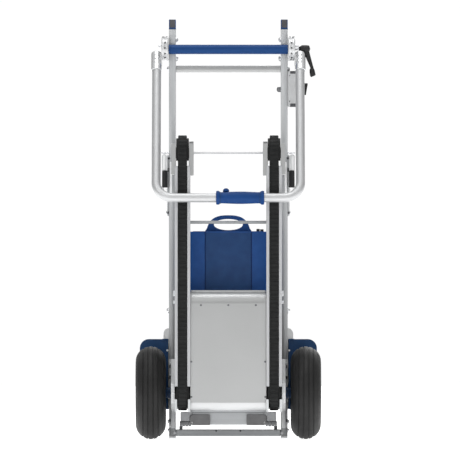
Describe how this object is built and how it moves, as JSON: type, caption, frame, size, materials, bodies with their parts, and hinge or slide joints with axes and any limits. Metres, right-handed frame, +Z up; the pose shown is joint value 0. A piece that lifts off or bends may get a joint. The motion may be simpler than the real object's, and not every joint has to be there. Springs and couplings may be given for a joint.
{
  "type": "electric stair-climbing hand truck",
  "caption": "Powered stair-climbing hand truck with crawler tracks, air tyres, swing handle and folding toe plate.",
  "frame": {"origin": "on the floor, midway between the object's outermost points in X and in Y", "axes": "+Z up along the uprights, -Y towards the operator, +Y towards the load, +X to the operator's right"},
  "size_m": [0.5198, 0.515, 1.18],
  "materials": {
    "aluminium": "satin extruded aluminium",
    "tube": "bright polished tube",
    "steel": "machined steel",
    "cast": "die-cast aluminium, lightly blasted",
    "sheet": "folded aluminium sheet, satin",
    "motor": "black painted steel motor",
    "bar": "blue anodised tube",
    "blue": "moulded blue plastic",
    "fender": "moulded dark blue plastic",
    "black": "moulded black plastic",
    "grey": "moulded dark grey plastic",
    "case": "light grey painted metal",
    "belt": "ribbed black rubber",
    "pad": "dark grey rubber",
    "tyre": "ribbed black tyre"
  },
  "bodies": {
    "root": {"left_upright": "aluminium", "right_upright": "aluminium", "left_end_cap": "blue", "right_end_cap": "blue", "left_foot": "pad", "right_foot": "pad", "left_pivot_disc": "cast", "right_pivot_disc": "cast", "left_track_channel": "aluminium", "right_track_channel": "aluminium", "left_belt": "belt", "right_belt": "belt", "left_inner_plate": "aluminium", "right_inner_plate": "aluminium", "left_outer_plate": "aluminium", "right_outer_plate": "aluminium", "left_axle_bracket": "aluminium", "right_axle_bracket": "aluminium", "left_fender": "fender", "right_fender": "fender", "left_stair_pad": "pad", "right_stair_pad": "pad", "left_catch_bracket": "aluminium", "right_catch_bracket": "aluminium", "upper_crossbar": "aluminium", "bottom_crossbar": "aluminium", "grip_bar": "bar", "middle_tie_rod": "steel", "control_box": "case", "idler_axle": "steel", "drive_cover": "sheet", "motor": "motor", "gearbox": "cast", "battery_tray": "sheet", "wheel_axle": "steel", "front_shield": "sheet", "lower_crossmember": "aluminium", "toe_hinge_rod": "steel"},
    "handle": {"handle_tube": "tube", "left_handle_socket": "cast", "right_handle_socket": "cast", "handle_grip": "blue"},
    "thumb_button": {"thumb_button": "blue"},
    "clamp_lever": {"clamp_lever": "black"},
    "rocker_switch": {"rocker_switch": "black"},
    "selector_knob": {"selector_knob": "case"},
    "drive_shaft": {"drive_shaft": "steel", "left_drive_pulley": "black", "right_drive_pulley": "black"},
    "left_idler": {"left_idler_pulley": "grey"},
    "right_idler": {"right_idler_pulley": "grey"},
    "battery": {"battery_case": "blue", "battery_connector": "black"},
    "left_wheel": {"left_tyre": "tyre", "left_rim": "aluminium"},
    "right_wheel": {"right_tyre": "tyre", "right_rim": "aluminium"},
    "toe_plate": {"toe_plate": "aluminium"},
    "left_catch": {"left_catch": "cast"},
    "right_catch": {"right_catch": "cast"}
  },
  "joints": [
    {"name": "handle_swing", "type": "hinge", "parent": "root", "child": "handle", "pos_m": [0, -0.0075, 1.097], "axis": [-1, 0, 0], "range_deg": [0, 150]},
    {"name": "thumb_button_press", "type": "slide", "parent": "handle", "child": "thumb_button", "axis": [0, -0.4809, -0.8768], "range_m": [0, 0.003], "stiffness_N_per_m": 600, "springref_m": -0.001},
    {"name": "clamp_lever_turn", "type": "hinge", "parent": "root", "child": "clamp_lever", "pos_m": [0, -0.0075, 1.097], "axis": [-1, 0, 0], "range_deg": [0, 90]},
    {"name": "rocker_tilt", "type": "hinge", "parent": "root", "child": "rocker_switch", "pos_m": [0.214, 0.0258, 0.984], "axis": [0, 1, 0], "range_deg": [-7, 7], "stiffness_Nm_per_rad": 0.3},
    {"name": "selector_turn", "type": "hinge", "parent": "root", "child": "selector_knob", "pos_m": [0.142, 0.0258, 0.9828], "axis": [1, 0, 0], "range_deg": [0, 90]},
    {"name": "drive_shaft_spin", "type": "hinge", "parent": "root", "child": "drive_shaft", "pos_m": [0, -0.1695, 0.1307], "axis": [1, 0, 0], "continuous": true},
    {"name": "left_idler_spin", "type": "hinge", "parent": "root", "child": "left_idler", "pos_m": [-0.128, -0.1695, 0.8026], "axis": [1, 0, 0], "continuous": true},
    {"name": "right_idler_spin", "type": "hinge", "parent": "root", "child": "right_idler", "pos_m": [0.128, -0.1695, 0.8026], "axis": [1, 0, 0], "continuous": true},
    {"name": "battery_slide", "type": "slide", "parent": "root", "child": "battery", "axis": [0, 0, 1], "range_m": [0, 0.25]},
    {"name": "left_wheel_spin", "type": "hinge", "parent": "root", "child": "left_wheel", "pos_m": [-0.2174, -0.0885, 0.13], "axis": [1, 0, 0], "continuous": true},
    {"name": "right_wheel_spin", "type": "hinge", "parent": "root", "child": "right_wheel", "pos_m": [0.2174, -0.0885, 0.13], "axis": [1, 0, 0], "continuous": true},
    {"name": "toe_plate_fold", "type": "hinge", "parent": "root", "child": "toe_plate", "pos_m": [0, 0.0668, 0.0145], "axis": [1, 0, 0], "range_deg": [0, 90]},
    {"name": "left_catch_swing", "type": "hinge", "parent": "root", "child": "left_catch", "pos_m": [-0.1788, -0.004, 0.7888], "axis": [-1, 0, 0], "range_deg": [0, 40]},
    {"name": "right_catch_swing", "type": "hinge", "parent": "root", "child": "right_catch", "pos_m": [0.1788, -0.004, 0.7888], "axis": [-1, 0, 0], "range_deg": [0, 40]}
  ],
  "couplings": [
    {"joint": "left_idler_spin", "follows": "drive_shaft_spin", "ratio": 1},
    {"joint": "right_idler_spin", "follows": "drive_shaft_spin", "ratio": 1}
  ]
}
